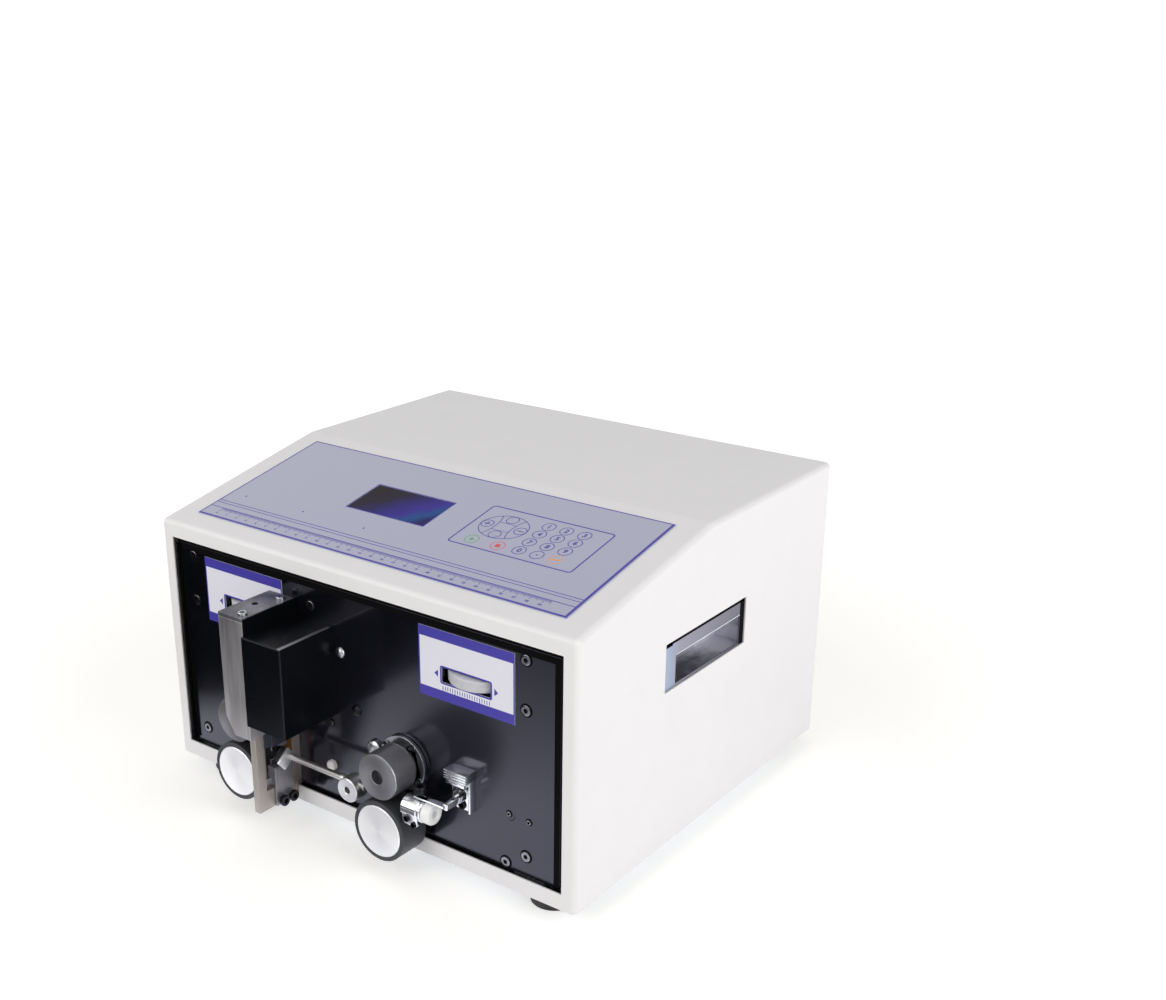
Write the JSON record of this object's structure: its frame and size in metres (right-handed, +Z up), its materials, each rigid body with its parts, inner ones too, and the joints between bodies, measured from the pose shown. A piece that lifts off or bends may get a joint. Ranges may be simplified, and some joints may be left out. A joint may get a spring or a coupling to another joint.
{
  "type": "wire stripping machine",
  "caption": "Bench-top wire cutting and stripping machine: sheet-steel cabinet with keypad and display, driven feed rollers, blade head and swinging wire conduit on a black front plate.",
  "frame": {"origin": "under the middle of the whole machine's box, on the surface that it stands on", "axes": "+X to the right seen from the front, +Y from the front to the back, +Z up"},
  "size_m": [0.37, 0.372, 0.232],
  "materials": {
    "cabinet_paint": "satin powder coat",
    "zinc_sheet": "zinc plated sheet",
    "black_rubber": "matt",
    "screw_steel": "bright",
    "black_plate": "satin black",
    "pocket_steel": "satin",
    "overlay_film": "printed film",
    "circuit_board": "satin",
    "lcd_glass": "gloss",
    "label_foil": "silver printed film",
    "transformer_iron": "varnished",
    "black_plastic": "matt",
    "rocker_red": "gloss",
    "motor_black": "matt",
    "belt_rubber": "matt",
    "pulley_aluminium": "turned",
    "column_steel": "ground",
    "black_cover": "gloss black",
    "frame_steel": "ground",
    "gib_bronze": "satin",
    "tool_steel": "ground",
    "black_screw": "black oxide",
    "blade_steel": "ground",
    "polished_steel": "polished",
    "hub_steel": "turned",
    "chrome_plate": "polished",
    "white_plastic": "satin",
    "roller_aluminium": "turned",
    "roller_rubber": "matt, ground",
    "knurled_steel": "knurled",
    "arm_aluminium": "milled",
    "white_wheel": "polished white"
  },
  "bodies": {
    "cabinet": {"cabinet_cover": "cabinet_paint", "base_pan": "zinc_sheet", "rear_panel": "cabinet_paint", "rubber_feet": "black_rubber", "case_screws": "screw_steel", "front_plate": "black_plate", "plate_screws": "screw_steel", "plate_brackets": "zinc_sheet", "handle_pockets": "pocket_steel", "panel_overlay": "overlay_film", "lcd_module": "circuit_board", "lcd_window": "lcd_glass", "keypad_board": "circuit_board", "roller_labels": "label_foil", "control_board": "circuit_board", "power_transformer": "transformer_iron", "fan_frame": "black_plastic", "mains_inlet": "black_plastic", "feed_motors": "motor_black", "motor_brackets": "zinc_sheet", "cutter_motor": "motor_black", "drive_belts": "belt_rubber", "cutter_column": "column_steel", "column_cap": "column_steel", "column_screws": "screw_steel", "cutter_cover": "black_cover", "blade_frame": "frame_steel", "slide_gib": "gib_bronze", "conduit_motor": "motor_black", "inlet_bracket": "chrome_plate", "inlet_arm": "chrome_plate", "inlet_guide": "chrome_plate", "inlet_bush": "white_plastic", "wheel_brackets": "zinc_sheet", "bearing_blocks": "arm_aluminium"},
    "fan": {"fan_rotor": "black_plastic"},
    "rocker": {"power_rocker": "rocker_red"},
    "feed_right": {"lower_roller_right": "roller_aluminium", "lower_tyre_right": "roller_rubber"},
    "feed_left": {"lower_roller_left": "roller_aluminium", "lower_tyre_left": "roller_rubber"},
    "idler_right": {"upper_roller_right": "knurled_steel"},
    "idler_left": {"upper_roller_left": "knurled_steel"},
    "arm_right": {"gap_arm_right": "arm_aluminium"},
    "arm_left": {"gap_arm_left": "arm_aluminium"},
    "wheel_right": {"thumbwheel_right": "white_wheel"},
    "wheel_left": {"thumbwheel_left": "white_wheel"},
    "motor_right": {"motor_pulley_right": "pulley_aluminium"},
    "motor_left": {"motor_pulley_left": "pulley_aluminium"},
    "upper_cutter": {"upper_blade_holder": "tool_steel", "upper_blade": "blade_steel"},
    "lower_cutter": {"lower_blade_holder": "tool_steel", "lower_blade": "blade_steel", "holder_screws": "black_screw"},
    "lead": {"lead_screw": "tool_steel"},
    "cutter_drive": {"cutter_pulley": "pulley_aluminium"},
    "conduit": {"conduit_shaft": "polished_steel", "conduit_hub": "hub_steel", "conduit_tube": "polished_steel", "conduit_nose": "black_plastic"}
  },
  "joints": [
    {"name": "feed_right_spin", "type": "hinge", "parent": "cabinet", "child": "feed_right", "pos_m": [0.042, -0.153, 0.0335], "axis": [0, 1, 0], "continuous": true},
    {"name": "feed_left_spin", "type": "hinge", "parent": "cabinet", "child": "feed_left", "pos_m": [-0.095, -0.153, 0.0335], "axis": [0, 1, 0], "continuous": true},
    {"name": "motor_right_spin", "type": "hinge", "parent": "cabinet", "child": "motor_right", "pos_m": [0.095, -0.093, 0.057], "axis": [0, 1, 0], "continuous": true},
    {"name": "motor_left_spin", "type": "hinge", "parent": "cabinet", "child": "motor_left", "pos_m": [-0.019, -0.093, 0.057], "axis": [0, 1, 0], "continuous": true},
    {"name": "wheel_right_turn", "type": "hinge", "parent": "cabinet", "child": "wheel_right", "pos_m": [0.0964, -0.1165, 0.1482], "axis": [0, 0, 1], "range_deg": [-250, 555]},
    {"name": "wheel_left_turn", "type": "hinge", "parent": "cabinet", "child": "wheel_left", "pos_m": [-0.106, -0.1165, 0.1482], "axis": [0, 0, 1], "range_deg": [-745, 1660]},
    {"name": "gap_right", "type": "hinge", "parent": "cabinet", "child": "arm_right", "pos_m": [0.131, -0.125, 0.0645], "axis": [0, 1, 0], "range_deg": [-1.16, 2.57]},
    {"name": "gap_left", "type": "hinge", "parent": "cabinet", "child": "arm_left", "pos_m": [-0.025, -0.125, 0.0827], "axis": [0, 1, 0], "range_deg": [-1.47, 3.27]},
    {"name": "idler_right_spin", "type": "hinge", "parent": "arm_right", "child": "idler_right", "pos_m": [0.042, -0.153, 0.0741], "axis": [0, 1, 0], "continuous": true},
    {"name": "idler_left_spin", "type": "hinge", "parent": "arm_left", "child": "idler_left", "pos_m": [-0.095, -0.153, 0.0741], "axis": [0, 1, 0], "continuous": true},
    {"name": "lead_turn", "type": "hinge", "parent": "cabinet", "child": "lead", "pos_m": [-0.0705, -0.155, 0.122], "axis": [0, 0, 1], "range_deg": [-1, 451]},
    {"name": "cutter_drive_turn", "type": "hinge", "parent": "cabinet", "child": "cutter_drive", "pos_m": [-0.0705, -0.062, 0.16], "axis": [0, 0, 1], "range_deg": [-1, 451]},
    {"name": "upper_cut", "type": "slide", "parent": "cabinet", "child": "upper_cutter", "axis": [0, 0, -1], "range_m": [0, 0.005]},
    {"name": "lower_cut", "type": "slide", "parent": "cabinet", "child": "lower_cutter", "axis": [0, 0, 1], "range_m": [0, 0.005]},
    {"name": "conduit_swing", "type": "hinge", "parent": "cabinet", "child": "conduit", "pos_m": [0.0105, -0.155, 0.05205], "axis": [0, 1, 0], "range_deg": [0, 12]},
    {"name": "fan_spin", "type": "hinge", "parent": "cabinet", "child": "fan", "pos_m": [0.095, 0.172, 0.132], "axis": [0, 1, 0], "continuous": true},
    {"name": "rocker_tilt", "type": "hinge", "parent": "cabinet", "child": "rocker", "pos_m": [-0.12, 0.179, 0.08], "axis": [1, 0, 0], "range_deg": [0, 16]}
  ],
  "couplings": [
    {"joint": "motor_right_spin", "follows": "feed_right_spin", "ratio": 1.7778},
    {"joint": "motor_left_spin", "follows": "feed_left_spin", "ratio": 1.7778},
    {"joint": "idler_right_spin", "follows": "feed_right_spin", "ratio": -1.3333},
    {"joint": "idler_left_spin", "follows": "feed_left_spin", "ratio": -1.3333},
    {"joint": "gap_right", "follows": "wheel_right_turn", "ratio": 0.0045999},
    {"joint": "gap_left", "follows": "wheel_left_turn", "ratio": 0.0019649},
    {"joint": "lower_cut", "follows": "upper_cut", "ratio": 1},
    {"joint": "lead_turn", "follows": "upper_cut", "rad_per_m": 1570.8},
    {"joint": "cutter_drive_turn", "follows": "upper_cut", "rad_per_m": 1570.8}
  ]
}
